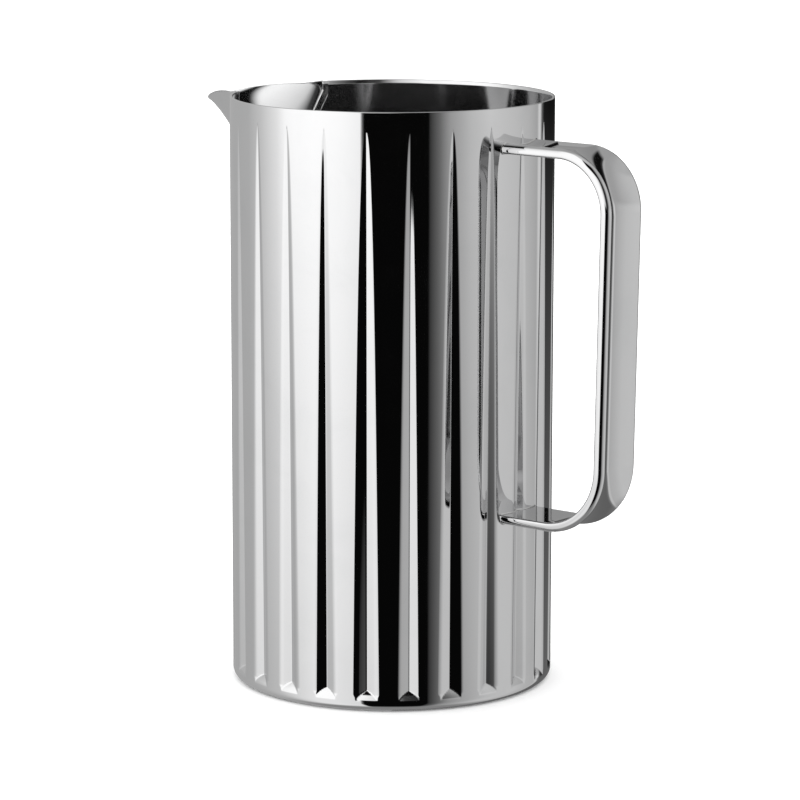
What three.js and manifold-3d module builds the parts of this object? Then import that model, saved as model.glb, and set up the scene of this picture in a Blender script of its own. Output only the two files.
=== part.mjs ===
// Fluted serving pitcher: a plain cylinder of polished sheet metal with twenty-four V flutes,
// a pressed spout welded into a notch of the rim and a flat strap handle welded on the other side.
// Millimetres, +Z up.  The origin is the middle of the underside; the handle is on +X, the spout on -X.
import * as THREE from "three";
import Module from "manifold-3d";
import { mergeVertices } from "three/addons/utils/BufferGeometryUtils.js";

// ---------------------------------------------------------------- driving dimensions
// Body
const bodyHeight = 206;
const bodyRadius = 56.5;
const wall = 1.0;
const cornerRadius = 3.0; // outside radius where the wall turns under
const flangeWidth = 6.5; // how far the wall runs in under the pitcher, from its outside

// Flutes
const fluteCount = 24;
const fluteDrop = 6.8; // from the rim down to the flute tips
const fluteFoot = 8; // height where the facets stop
const fluteEnd = 4.3; // height where the closing facet runs out
const fluteHalfWidth = 3.9; // at the foot
const fluteDepth = 1.5; // at the foot
const fluteWidthPower = 0.42; // the half width grows as this power of the way down
const fluteDepthPower = 0.6;

// Spout
const spoutReach = 29.7; // from the wall to the tip
const spoutHalfAngle = 25; // degrees each side of -X where the lip leaves the rim
const spoutNotch = 38; // depth of the notch at its middle
const notchPower = 1.35; // 1 is a straight-sided V, 2 a round-bottomed one
const spoutSide = 3.5; // depth of the notch where it leaves the rim
const spoutDip = 1.2; // the flanks of the lip run this much lower than the rim
const spoutDroop = 6.8; // the tip is this much lower again
const spoutNose = 6.5; // handle length of the nose curve: bigger is blunter
const spoutSweep = 15; // how far the lip follows the rim before it turns outwards
const spoutWall = 1.0;

// Handle
const strapWidth = 20.6;
const strapThickness = 3.4;
const strapEdge = 1.5; // radius of the strap's long edges
const strapDish = 1.0; // hollow along the middle of the strap's outer face
const gripReach = 44.1; // from the wall to the outside of the grip, at its top
const gripLean = 1.7; // how much nearer the axis the grip ends at its foot
const upperArmDrop = 12; // from the rim down to the top of the upper arm
const lowerArmHeight = 62.8; // from the table up to the underside of the lower arm
const upperBend = 21; // outside radius of the upper bend
const lowerBend = 24; // outside radius of the lower bend

// Joints between the pieces
const gap = 0.15; // left between two pieces that touch on the real pitcher
const seamWidth = 1.1; // weld between the spout and the notch, and round the base disc
const seamProud = 0.25; // how far a weld stands out of the sheet
const filletLeg = 1.5; // weld round each end of the strap

// ---------------------------------------------------------------- finishes
const polished = { color: 0xd6d8da, metalness: 1, roughness: 0.06 };
const satin = { color: 0xb9bbbd, metalness: 1, roughness: 0.3 };
const weldBead = { color: 0xa9abad, metalness: 1, roughness: 0.35 };

const radians = THREE.MathUtils.degToRad;
const lerp = THREE.MathUtils.lerp;

const wasm = await Module();
wasm.setup();

// ---------------------------------------------------------------- helpers
// A closed skin over a row of loops that all have the same number of points.
// The row either closes on itself or is capped at both ends.
function skin(loops, rowCloses) {
  const count = loops[0].length;
  const positions = [];
  const index = [];
  for (const loop of loops) {
    for (const point of loop) {
      positions.push(point.x, point.y, point.z);
    }
  }
  const rows = rowCloses ? loops.length : loops.length - 1;
  for (let i = 0; i < rows; i++) {
    const here = i * count;
    const next = ((i + 1) % loops.length) * count;
    for (let j = 0; j < count; j++) {
      const k = (j + 1) % count;
      index.push(here + j, next + j, next + k);
      index.push(here + j, next + k, here + k);
    }
  }
  if (!rowCloses) {
    const last = (loops.length - 1) * count;
    for (let j = 1; 2 * j < count; j++) {
      const low = j - 1;
      const high = count - j;
      index.push(low, low + 1, high);
      index.push(last + low + 1, last + low, last + high);
      if (low + 1 < high - 1) {
        index.push(low + 1, high - 1, high);
        index.push(last + high - 1, last + low + 1, last + high);
      }
    }
  }
  const geometry = new THREE.BufferGeometry();
  geometry.setAttribute("position", new THREE.Float32BufferAttribute(positions, 3));
  geometry.setIndex(index);
  return geometry;
}

// A geometry as a solid; a skin that was wound inwards is turned to face out.
function toSolid(geometry) {
  const bare = geometry.clone();
  bare.deleteAttribute("normal");
  bare.deleteAttribute("uv");
  const merged = mergeVertices(bare, 1e-4);
  const vertProperties = merged.attributes.position.array;
  const triVerts = new Uint32Array(merged.index.array);
  const solid = new wasm.Manifold(new wasm.Mesh({ numProp: 3, vertProperties, triVerts }));
  if (solid.volume() > 0) {
    return solid;
  }
  return new wasm.Manifold(new wasm.Mesh({ numProp: 3, vertProperties, triVerts: triVerts.reverse() }));
}

function toGeometry(solid) {
  const mesh = solid.getMesh();
  const geometry = new THREE.BufferGeometry();
  geometry.setAttribute("position", new THREE.BufferAttribute(new Float32Array(mesh.vertProperties), 3));
  geometry.setIndex(new THREE.BufferAttribute(new Uint32Array(mesh.triVerts), 1));
  geometry.computeVertexNormals();
  return geometry;
}

function cubic(a, b, c, d, t) {
  const s = 1 - t;
  return s * s * s * a + 3 * s * s * t * b + 3 * s * t * t * c + t * t * t * d;
}

// A point at an angle from the spout's direction (-X), seen from above.
function aroundSpout(radius, angle, z) {
  return new THREE.Vector3(-radius * Math.cos(angle), -radius * Math.sin(angle), z);
}

// ---------------------------------------------------------------- body
const pitch = (2 * Math.PI) / fluteCount;
const flangeRadius = bodyRadius - flangeWidth;
const fluteTop = bodyHeight - fluteDrop;

// Half width and depth of a flute at a height.
function fluteAt(z) {
  const down = THREE.MathUtils.clamp((fluteTop - z) / (fluteTop - fluteFoot), 0, 1);
  const closing = THREE.MathUtils.clamp((z - fluteEnd) / (fluteFoot - fluteEnd), 0, 1);
  return {
    halfWidth: Math.max(fluteHalfWidth * Math.pow(down, fluteWidthPower), 0.3),
    depth: fluteDepth * Math.pow(down, fluteDepthPower) * closing,
  };
}

// One ring of the wall: a groove in the middle of each pitch, plain metal between.
function wallRing(radius, z) {
  const { halfWidth, depth } = fluteAt(z);
  const across = [
    [0, 1],
    [0.88, 0.14],
    [1.15, 0],
  ];
  const points = [];
  for (let k = 0; k < fluteCount; k++) {
    const middle = k * pitch;
    const half = across.map(([share, deep]) => [(share * halfWidth) / bodyRadius, radius - deep * depth]);
    for (const [angle, r] of [...half.slice(1).reverse().map(([a, r]) => [-a, r]), ...half, [pitch / 2, radius]]) {
      const turn = middle + angle;
      points.push(new THREE.Vector3(r * Math.cos(turn), r * Math.sin(turn), z));
    }
  }
  return points;
}

function makeBody() {
  const heights = [fluteEnd, fluteFoot, 45, 90, 135, 170, 188, 196, fluteTop];
  const lipRound = wall / 2;
  const rings = [];
  const corner = (radius, turn) => [
    bodyRadius - cornerRadius + radius * Math.cos(turn),
    cornerRadius - radius * Math.sin(turn),
  ];
  // Outside: from the flange in the underside, round the corner and up to the rim.
  rings.push(wallRing(flangeRadius, 0));
  for (const degrees of [90, 60, 30, 0]) {
    const [radius, z] = corner(cornerRadius, radians(degrees));
    rings.push(wallRing(radius, z));
  }
  for (const z of heights) {
    rings.push(wallRing(bodyRadius, z));
  }
  rings.push(wallRing(bodyRadius, bodyHeight - lipRound));
  rings.push(wallRing(bodyRadius - lipRound * 0.3, bodyHeight - lipRound * 0.3));
  rings.push(wallRing(bodyRadius - lipRound, bodyHeight));
  rings.push(wallRing(bodyRadius - wall + lipRound * 0.3, bodyHeight - lipRound * 0.3));
  rings.push(wallRing(bodyRadius - wall, bodyHeight - lipRound));
  // Inside: down to the corner and back to the flange.
  for (const z of [...heights].reverse()) {
    rings.push(wallRing(bodyRadius - wall, z));
  }
  for (const degrees of [0, 45, 90]) {
    const [radius, z] = corner(cornerRadius - wall, radians(degrees));
    rings.push(wallRing(radius, z));
  }
  rings.push(wallRing(flangeRadius, wall));
  return toSolid(skin(rings, true)).subtract(toSolid(makeNotch(2 * gap + seamWidth)));
}

// ---------------------------------------------------------------- spout
const attach = radians(spoutHalfAngle);
const spoutTip = bodyRadius + spoutReach;
const spoutSteps = 36;
const spoutStations = Array.from({ length: spoutSteps + 1 }, (_, i) => -1 + (2 * i) / spoutSteps);
const turnUp = 0.03; // just past the ends of the V, where the edge has turned straight up

// The edge of the notch, on the outside of the wall.  s runs from -1 to 1 along the V, and past
// either end it climbs straight up to the rim.  grow moves the edge outwards along the wall.
function notchEdge(s, grow) {
  const shape = (q) => {
    const along = Math.min(Math.abs(q), 1);
    const climb = Math.max(Math.abs(q) - 1, 0) * spoutNotch;
    const fall = 1 - Math.pow(along, notchPower);
    return [Math.sign(q) * along * attach * bodyRadius, climb - spoutSide - (spoutNotch - spoutSide) * fall];
  };
  const [arc, drop] = shape(s);
  const [arcA, dropA] = shape(s - 0.01);
  const [arcB, dropB] = shape(s + 0.01);
  const side = new THREE.Vector2(dropB - dropA, arcA - arcB).normalize();
  return [arc + side.x * grow, drop + side.y * grow];
}

function notchPoint(s, grow, radius) {
  const [arc, drop] = notchEdge(s, grow);
  return aroundSpout(radius, arc / bodyRadius, bodyHeight + drop);
}

// A solid that fills the notch and stands out on both sides of the wall.
function makeNotch(grow) {
  const above = bodyHeight + 5;
  const loops = [];
  for (const s of [-1 - turnUp, ...spoutStations, 1 + turnUp]) {
    const inner = notchPoint(s, grow, bodyRadius - 6);
    const outer = notchPoint(s, grow, bodyRadius + 6);
    loops.push([
      inner,
      outer,
      new THREE.Vector3(outer.x, outer.y, above),
      new THREE.Vector3(inner.x, inner.y, above),
    ]);
  }
  return skin(loops, false);
}

// The lip, seen from above: it leaves along the rim, sweeps out and closes in a round nose.
function lipPoint(s) {
  const t = Math.abs(s);
  const side = Math.sign(s);
  const leave = [bodyRadius * Math.cos(attach), bodyRadius * Math.sin(attach)];
  const out = cubic(spoutTip, spoutTip, leave[0] + spoutSweep * Math.sin(attach), leave[0], t);
  const across = cubic(0, spoutNose, leave[1] - spoutSweep * Math.cos(attach), leave[1], t);
  const reach = THREE.MathUtils.clamp((out - bodyRadius) / spoutReach, 0, 1);
  const dip = spoutDip * THREE.MathUtils.smoothstep(1 - t, 0, 0.3);
  return new THREE.Vector3(-out, -side * across, bodyHeight - dip - spoutDroop * Math.pow(reach, 2.4));
}

// The outside of the spout: t runs up from the notch to the lip.
function spoutSkin(s, t) {
  const foot = notchPoint(s, 0, bodyRadius);
  const lip = lipPoint(s);
  const bow = Math.pow(1 - Math.min(Math.abs(s), 1), 0.8);
  const first = foot.clone().lerp(lip, 1 / 3).add(new THREE.Vector3(-1 * bow, 0, 7 * bow));
  const second = foot.clone().lerp(lip, 2 / 3).add(new THREE.Vector3(-3 * bow, 0, 8.5 * bow));
  return new THREE.Vector3(
    cubic(foot.x, first.x, second.x, lip.x, t),
    cubic(foot.y, first.y, second.y, lip.y, t),
    cubic(foot.z, first.z, second.z, lip.z, t),
  );
}

function spoutNormal(s, t) {
  const step = 0.004;
  const inside = THREE.MathUtils.clamp(s, -1 + step, 1 - step);
  const low = Math.max(t - step, 0);
  const high = Math.min(t + step, 1);
  const along = spoutSkin(inside + step, t).sub(spoutSkin(inside - step, t));
  const up = spoutSkin(s, high).sub(spoutSkin(s, low));
  return along.cross(up).normalize();
}

function makeSpout() {
  const levels = [0, 0.12, 0.28, 0.46, 0.64, 0.82, 1];
  const loops = [];
  for (const s of spoutStations) {
    const outside = levels.map((t) => spoutSkin(s, t));
    const inside = levels.map((t, k) => {
      const normal = spoutNormal(s, t);
      const inward = outside[k].clone().add(new THREE.Vector3(bodyRadius, 0, 0));
      const facesOut = normal.x < 0 || (Math.abs(normal.x) < 1e-6 && inward.y * normal.y > 0);
      return outside[k].clone().addScaledVector(normal, facesOut ? -spoutWall : spoutWall);
    });
    loops.push([...outside, ...inside.reverse()]);
  }
  return toSolid(skin(loops, false));
}

// The weld that joins the spout to the edge of the notch.
function makeSpoutSeam() {
  const loops = [];
  const middle = gap + seamWidth / 2;
  const top = 1 + (spoutSide - gap) / spoutNotch;
  for (const s of [-top, -1 - turnUp, ...spoutStations, 1 + turnUp, top]) {
    loops.push([
      notchPoint(s, gap, bodyRadius),
      notchPoint(s, middle, bodyRadius + seamProud),
      notchPoint(s, gap + seamWidth, bodyRadius),
      notchPoint(s, gap + seamWidth, bodyRadius - wall),
      notchPoint(s, middle, bodyRadius - wall - seamProud),
      notchPoint(s, gap, bodyRadius - wall),
    ]);
  }
  return toSolid(skin(loops, false));
}

// ---------------------------------------------------------------- handle
const upperArm = bodyHeight - upperArmDrop - strapThickness / 2;
const lowerArm = lowerArmHeight + strapThickness / 2;
const gripTop = bodyRadius + gripReach - strapThickness / 2;
const gripFoot = gripTop - gripLean;

// The middle of the strap from its upper end to its lower: arm, bend, grip, bend, arm.
function strapPath() {
  const upperRadius = upperBend - strapThickness / 2;
  const lowerRadius = lowerBend - strapThickness / 2;
  const lean = Math.atan2(gripLean, upperArm - lowerArm - upperRadius - lowerRadius);
  const start = new THREE.Vector3(bodyRadius - 4, 0, upperArm);
  const arc = ({ x, z, radius }, from, to) => {
    const points = [];
    for (let i = 1; i <= 8; i++) {
      const turn = lerp(from, to, i / 8);
      points.push(new THREE.Vector3(x + radius * Math.cos(turn), 0, z + radius * Math.sin(turn)));
    }
    return points;
  };
  const upper = { x: gripTop - upperRadius, z: upperArm - upperRadius, radius: upperRadius };
  const lower = { x: gripFoot - lowerRadius, z: lowerArm + lowerRadius, radius: lowerRadius };
  const points = [start, new THREE.Vector3(upper.x, 0, upperArm)];
  points.push(...arc(upper, Math.PI / 2, -lean));
  points.push(new THREE.Vector3((gripTop + gripFoot) / 2, 0, (upperArm + lowerArm) / 2));
  points.push(...[...arc(lower, -Math.PI / 2, -lean)].reverse());
  points.push(new THREE.Vector3(lower.x, 0, lowerArm));
  points.push(new THREE.Vector3(bodyRadius - 4, 0, lowerArm));
  return points;
}

// The strap's cross section: a flat bar with rounded edges and a hollow along its outer face.
function strapOutline(grow) {
  const w = strapWidth / 2 + grow;
  const h = strapThickness / 2 + grow;
  const r = strapEdge + grow;
  const flat = 8;
  const half = (dish) => {
    const points = [];
    for (let i = 0; i <= 3; i++) {
      const turn = radians(i * 30);
      points.push([w - r + r * Math.cos(turn), h - r + r * Math.sin(turn)]);
    }
    for (let i = 1; i < flat; i++) {
      const side = 1 - (2 * i) / flat;
      points.push([side * (w - r), h - dish * (1 - side * side)]);
    }
    for (let i = 3; i <= 6; i++) {
      const turn = radians(i * 30);
      points.push([r - w + r * Math.cos(turn), h - r + r * Math.sin(turn)]);
    }
    return points;
  };
  return [...half(strapDish), ...half(0).map(([across, thick]) => [-across, -thick])];
}

function makeHandle() {
  const points = strapPath();
  const loops = points.map((point, i) => {
    const before = points[Math.max(i - 1, 0)];
    const after = points[Math.min(i + 1, points.length - 1)];
    const tangent = after.clone().sub(before).normalize();
    const out = new THREE.Vector3(-tangent.z, 0, tangent.x);
    return strapOutline(0).map(([across, thick]) =>
      point.clone().addScaledVector(out, thick).add(new THREE.Vector3(0, across, 0)),
    );
  });
  const strap = toSolid(skin(loops, false));
  const core = new THREE.CylinderGeometry(bodyRadius + gap, bodyRadius + gap, bodyHeight, 144);
  core.rotateX(Math.PI / 2);
  core.translate(0, 0, bodyHeight / 2);
  return strap.subtract(toSolid(core));
}

// The weld round one end of the strap: a three-cornered bead in the angle of the wall and the strap.
// The strap's outer face looks up (1) on the upper arm and down (-1) on the lower one.
function makeHandleWeld(armHeight, outerFace) {
  const near = strapOutline(gap);
  const far = strapOutline(gap + filletLeg);
  const onWall = ([across, thick], out) => {
    const x = Math.sqrt(bodyRadius ** 2 - across ** 2) + out;
    return new THREE.Vector3(x, across, armHeight + outerFace * thick);
  };
  const loops = near.map((point, i) => [
    onWall(point, gap),
    onWall(far[i], gap),
    onWall(point, gap + filletLeg),
  ]);
  return toSolid(skin(loops, true));
}

// ---------------------------------------------------------------- base
function lathe(profile, segments) {
  const closed = [...profile, profile[0]].map(([radius, z]) => new THREE.Vector2(radius, z));
  const geometry = new THREE.LatheGeometry(closed, segments);
  geometry.rotateX(Math.PI / 2);
  return toSolid(geometry);
}

const seamOuter = flangeRadius - gap;
const seamInner = seamOuter - seamWidth;
const discRadius = seamInner - gap;

function makeBaseDisc() {
  return lathe([[0, 0], [discRadius, 0], [discRadius, wall], [0, wall]], 96);
}

function makeBaseSeam() {
  const middle = (seamOuter + seamInner) / 2;
  return lathe([[seamInner, 0], [seamOuter, 0], [seamOuter, wall], [middle, wall + seamProud], [seamInner, wall]], 96);
}

// ---------------------------------------------------------------- assembly
const group = new THREE.Group();
group.name = "fluted_pitcher";

function add(name, solid, finish) {
  const mesh = new THREE.Mesh(toGeometry(solid), new THREE.MeshStandardMaterial(finish));
  mesh.name = name;
  group.add(mesh);
}

add("body_shell", makeBody(), polished);
add("base_disc", makeBaseDisc(), satin);
add("base_weld_ring", makeBaseSeam(), weldBead);
add("spout", makeSpout(), polished);
add("spout_weld_seam", makeSpoutSeam(), weldBead);
add("handle_strap", makeHandle(), polished);
add("handle_weld_upper", makeHandleWeld(upperArm, 1), weldBead);
add("handle_weld_lower", makeHandleWeld(lowerArm, -1), weldBead);

export default group;
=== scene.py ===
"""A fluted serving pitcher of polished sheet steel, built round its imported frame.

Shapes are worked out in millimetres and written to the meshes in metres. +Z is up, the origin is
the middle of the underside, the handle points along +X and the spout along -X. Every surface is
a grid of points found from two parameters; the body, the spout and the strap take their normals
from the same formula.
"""

import logging
import math
from collections.abc import Callable, Sequence
from dataclasses import dataclass, replace
from enum import Enum

import bpy
import numpy as np
from mathutils import Matrix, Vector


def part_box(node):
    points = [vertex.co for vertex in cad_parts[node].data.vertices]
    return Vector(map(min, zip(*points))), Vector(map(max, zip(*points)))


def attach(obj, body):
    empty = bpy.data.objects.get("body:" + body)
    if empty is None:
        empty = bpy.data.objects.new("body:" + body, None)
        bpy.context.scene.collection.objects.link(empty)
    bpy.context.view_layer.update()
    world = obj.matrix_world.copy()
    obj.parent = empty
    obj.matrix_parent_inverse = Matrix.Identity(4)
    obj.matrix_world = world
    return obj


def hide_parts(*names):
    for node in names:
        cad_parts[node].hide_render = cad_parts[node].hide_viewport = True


MM = 0.001
ROOT = "root"
INNER_SIDE = "inner_side"
PACKED_GAP = 0.15
PLAIN_BAND = 6.8
LOG = logging.getLogger("fluted_pitcher")


class Slot(Enum):
    """The record's material slots."""

    SHEET = "polished_sheet"
    SPOUT = "polished_spout"
    STRAP = "polished_strap"
    BASE = "satin_base"
    WELD = "weld_metal"


class Caps(Enum):
    """How the two ends of a row of loops are finished."""

    JOINED = "last loop joined to the first"
    FANNED = "a fan of faces closes each end"


# ------------------------------------------------------------------ small formulas
def positive_part(value: np.ndarray, softness: float) -> np.ndarray:
    """The value where it is above zero, and nought below, with a round turn between.

    Args:
        value: Any array.
        softness: Half the width of the round turn, in the value's own unit.

    Returns:
        A parabola inside the turn, which meets both straight parts without a corner.
    """
    turn = (value + softness) ** 2 / (4.0 * softness)
    return np.where(value > softness, value, np.where(value < -softness, 0.0, turn))


def soft_minimum(first: np.ndarray, second: np.ndarray, softness: float) -> np.ndarray:
    """The lower of two values, with a rounded change-over.

    Args:
        first: Any array.
        second: An array of the same shape.
        softness: Size of the rounded part.

    Returns:
        The first value less the soft positive part of their difference.
    """
    return first - positive_part(first - second, softness)


def smooth_step(value: np.ndarray, low: float, high: float) -> np.ndarray:
    """Nought below low, one above high, and three squares less two cubes between."""
    share = np.clip((value - low) / (high - low), 0.0, 1.0)
    return share * share * (3.0 - 2.0 * share)


def bezier(a: np.ndarray, b: np.ndarray, c: np.ndarray, d: np.ndarray, t: np.ndarray) -> np.ndarray:
    """The cubic curve from a to d with the handles b and c, at the share t of the way."""
    s = 1.0 - t
    return s**3 * a + 3.0 * s * s * t * b + 3.0 * s * t * t * c + t**3 * d


def unit(vectors: np.ndarray) -> np.ndarray:
    """Each vector of the last axis at length one."""
    return vectors / np.maximum(np.linalg.norm(vectors, axis=-1, keepdims=True), 1e-12)


def stack(*parts: np.ndarray) -> np.ndarray:
    """Coordinates joined on a new last axis, after they are given one common shape."""
    return np.stack(np.broadcast_arrays(*parts), axis=-1)


class RoundedPath:
    """A flat outline of straight runs joined by round corners, read by the distance along it."""

    def __init__(self, corners: Sequence[tuple[float, float]], radii: Sequence[float], closed: bool) -> None:
        """Works out the runs and the arcs.

        Args:
            corners: The sharp corners in order.
            radii: The radius at each corner; nought at the two ends of an open path.
            closed: Whether the last corner joins the first.
        """
        points = np.array(corners, float)
        radius = np.array(radii, float)
        back = unit(np.roll(points, 1, axis=0) - points)
        ahead = unit(np.roll(points, -1, axis=0) - points)
        if not closed:
            back[0] = -ahead[0]
            ahead[-1] = -back[-1]
        half = np.arccos(np.clip((back * ahead).sum(-1), -1.0, 1.0)) / 2.0
        bisector = back + ahead
        trim = np.where(radius > 0, radius / np.maximum(np.tan(half), 1e-9), 0.0)
        enter = points + back * trim[:, None]
        leave = points + ahead * trim[:, None]
        centre = points + unit(bisector) * (radius / np.maximum(np.sin(half), 1e-9))[:, None]
        centre = np.where(radius[:, None] > 0, centre, points)
        start = np.arctan2(*(enter - centre).T[::-1])
        finish = np.arctan2(*(leave - centre).T[::-1])
        sweep = (finish - start + math.pi) % (2.0 * math.pi) - math.pi
        sweep = np.where(radius > 0, sweep, 0.0)
        count = len(points) if closed else len(points) - 1
        following = np.roll(enter, -1, axis=0)
        run = following - leave
        self.closed = closed
        self.is_arc = np.tile([True, False], len(points))[: 2 * count + (0 if closed else 1)]
        kinds = len(self.is_arc)
        self.origin = np.stack([centre, leave], axis=1).reshape(-1, 2)[:kinds]
        self.direction = np.stack([np.zeros_like(run), unit(run)], axis=1).reshape(-1, 2)[:kinds]
        self.radius = np.repeat(np.maximum(radius, 1e-9), 2)[:kinds]
        self.angle = np.repeat(start, 2)[:kinds]
        self.turn = np.repeat(np.sign(sweep), 2)[:kinds]
        lengths = np.stack([np.abs(sweep) * radius, np.linalg.norm(run, axis=-1)], axis=1).reshape(-1)[:kinds]
        self.starts = np.concatenate([[0.0], np.cumsum(lengths)])
        self.length = float(self.starts[-1])

    def at(self, distance: np.ndarray) -> tuple[np.ndarray, np.ndarray]:
        """The two coordinates at distances along the path.

        Args:
            distance: Distances from the start of the first arc.

        Returns:
            The first and the second coordinate, each with the shape of distance.
        """
        d = distance % self.length if self.closed else np.clip(distance, 0.0, self.length)
        piece = np.clip(np.searchsorted(self.starts, d, side="right") - 1, 0, len(self.is_arc) - 1)
        along = d - self.starts[piece]
        angle = self.angle[piece] + self.turn[piece] * along / self.radius[piece]
        arc = self.radius[piece][..., None] * stack(np.cos(angle), np.sin(angle))
        line = self.direction[piece] * along[..., None]
        place = self.origin[piece] + np.where(self.is_arc[piece][..., None], arc, line)
        return place[..., 0], place[..., 1]

    def stations(self, shares: Sequence[np.ndarray]) -> np.ndarray:
        """Distances along the path, from the shares of each arc and run that carry a row.

        Args:
            shares: For each arc and run in order, shares from 0 up to but not including 1.

        Returns:
            All the distances in one row.
        """
        spans = [(self.starts[k], self.starts[k + 1]) for k in range(len(shares))]
        return np.concatenate([low + (high - low) * share for (low, high), share in zip(spans, shares)])


def even(count: int) -> np.ndarray:
    """Shares from 0 up to but not including 1, evenly spaced."""
    return np.arange(count) / count


def grid_normals(shape: Callable[[np.ndarray, np.ndarray], np.ndarray], u: np.ndarray, v: np.ndarray,
                 step: tuple[float, float]) -> np.ndarray:
    """The normals of a surface: the cross product of its slopes along its two parameters.

    Args:
        shape: The surface, from two arrays of parameters to points.
        u: The first parameter at each grid point.
        v: The second parameter at each grid point.
        step: How far to step in each parameter.

    Returns:
        Unit vectors, on whichever side the order of the parameters gives.
    """
    along_u = shape(u + step[0], v) - shape(u - step[0], v)
    along_v = shape(u, v + step[1]) - shape(u, v - step[1])
    return unit(np.cross(along_u, along_v))


class Skin:
    """A closed surface as a grid of loops, written to a mesh with its own normals."""

    def __init__(self, name: str, points: np.ndarray, normals: np.ndarray | None, caps: Caps) -> None:
        """Keeps the grid.

        Args:
            name: The piece's name.
            points: Loops by points by three, in millimetres; each loop closes on itself.
            normals: Unit normals of the same shape, or None to let the faces give them.
            caps: How the first and the last loop are finished.
        """
        self.name = name
        self.points = points
        self.normals = normals
        self.caps = caps

    def faces(self) -> tuple[np.ndarray, np.ndarray, np.ndarray]:
        """The grid's corners, its four-sided faces and the fans of its ends.

        Returns:
            The points with the fans' middles, the four-sided faces and the three-sided faces.
        """
        loops, count = self.points.shape[:2]
        index = np.arange(loops * count).reshape(loops, count)
        rows = index if self.caps is Caps.FANNED else np.concatenate([index, index[:1]])
        wide = np.concatenate([rows, rows[:, :1]], axis=1)
        quads = np.stack([wide[:-1, :-1], wide[1:, :-1], wide[1:, 1:], wide[:-1, 1:]], axis=-1).reshape(-1, 4)
        points = self.points.reshape(-1, 3)
        fans = np.zeros((0, 3), int)
        if self.caps is Caps.FANNED:
            middles = np.stack([self.points[0].mean(0), self.points[-1].mean(0)])
            first, last = len(points), len(points) + 1
            start, end = index[0], index[-1]
            near = np.stack([np.full(count, first), start, np.roll(start, -1)], axis=-1)
            far = np.stack([np.full(count, last), np.roll(end, -1), end], axis=-1)
            fans = np.concatenate([near, far])
            points = np.concatenate([points, middles])
        return points, quads, fans

    def build(self, inside: np.ndarray | None = None) -> bpy.types.Object:
        """Writes the mesh, turned so that its faces point outwards.

        Args:
            inside: Where each grid point is on the inner side of a sheet, or None.

        Returns:
            The new object, which sits at the origin.
        """
        points, quads, fans = self.faces()
        triangles = np.concatenate([quads[:, [0, 1, 2]], quads[:, [0, 2, 3]], fans])
        a, b, c = (points[triangles[:, k]] for k in range(3))
        inside_out = float(np.einsum("ij,ij->i", a, np.cross(b, c)).sum()) < 0.0
        if inside_out:
            quads, fans = quads[:, ::-1], fans[:, ::-1]
        mesh = bpy.data.meshes.new(self.name)
        mesh.from_pydata((points * MM).tolist(), [], quads.tolist() + fans.tolist())
        mesh.shade_smooth()
        if self.normals is not None:
            self.write_normals(mesh, points, quads)
        if inside is not None:
            values = np.zeros(len(points), np.float32)
            values[: inside.size] = inside.reshape(-1)
            mesh.attributes.new(INNER_SIDE, "FLOAT", "POINT").data.foreach_set("value", values)
        piece = bpy.data.objects.new(self.name, mesh)
        bpy.context.scene.collection.objects.link(piece)
        return piece

    def write_normals(self, mesh: bpy.types.Mesh, points: np.ndarray, quads: np.ndarray) -> None:
        """Gives each point of the mesh the normal of the surface, on the side its faces look to.

        Args:
            mesh: The mesh, with the grid's points first.
            points: Every point of the mesh, in millimetres.
            quads: The four-sided faces as they were written.
        """
        given = self.normals.reshape(-1, 3)
        normals = np.zeros((len(points), 3))
        normals[: len(given)] = given
        corner = [points[quads[:, k]] for k in range(4)]
        across = np.cross(corner[2] - corner[0], corner[3] - corner[1])
        facing = np.zeros_like(normals)
        for k in range(4):
            np.add.at(facing, quads[:, k], across)
        side = np.sign((facing * normals).sum(-1))
        side = np.where(side == 0.0, 1.0, side)
        normals *= side[:, None]
        mesh.normals_split_custom_set_from_vertices(unit(normals).tolist())


# ------------------------------------------------------------------ sizes from the frame
@dataclass(frozen=True)
class Measures:
    """The pitcher's main sizes in millimetres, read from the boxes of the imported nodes.

    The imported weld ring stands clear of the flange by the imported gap.
    """

    body_radius: float
    body_height: float
    flange_radius: float
    spout_tip: float
    grip_outside: float
    strap_half_width: float
    upper_arm_top: float
    lower_arm_foot: float

    @classmethod
    def from_frame(cls) -> "Measures":
        """Reads the sizes.

        Returns:
            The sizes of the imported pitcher.
        """
        body_high = np.array(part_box("body_shell")[1]) / MM
        ring_high = np.array(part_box("base_weld_ring")[1]) / MM
        spout_low = np.array(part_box("spout")[0]) / MM
        strap_low, strap_high = (np.array(corner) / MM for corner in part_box("handle_strap"))
        return cls(
            body_radius=float(body_high[0]),
            body_height=float(body_high[2]),
            flange_radius=float(ring_high[0]) + PACKED_GAP,
            spout_tip=float(-spout_low[0]),
            grip_outside=float(strap_high[0]),
            strap_half_width=float(strap_high[1]),
            upper_arm_top=float(strap_high[2]),
            lower_arm_foot=float(strap_low[2]),
        )


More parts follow.
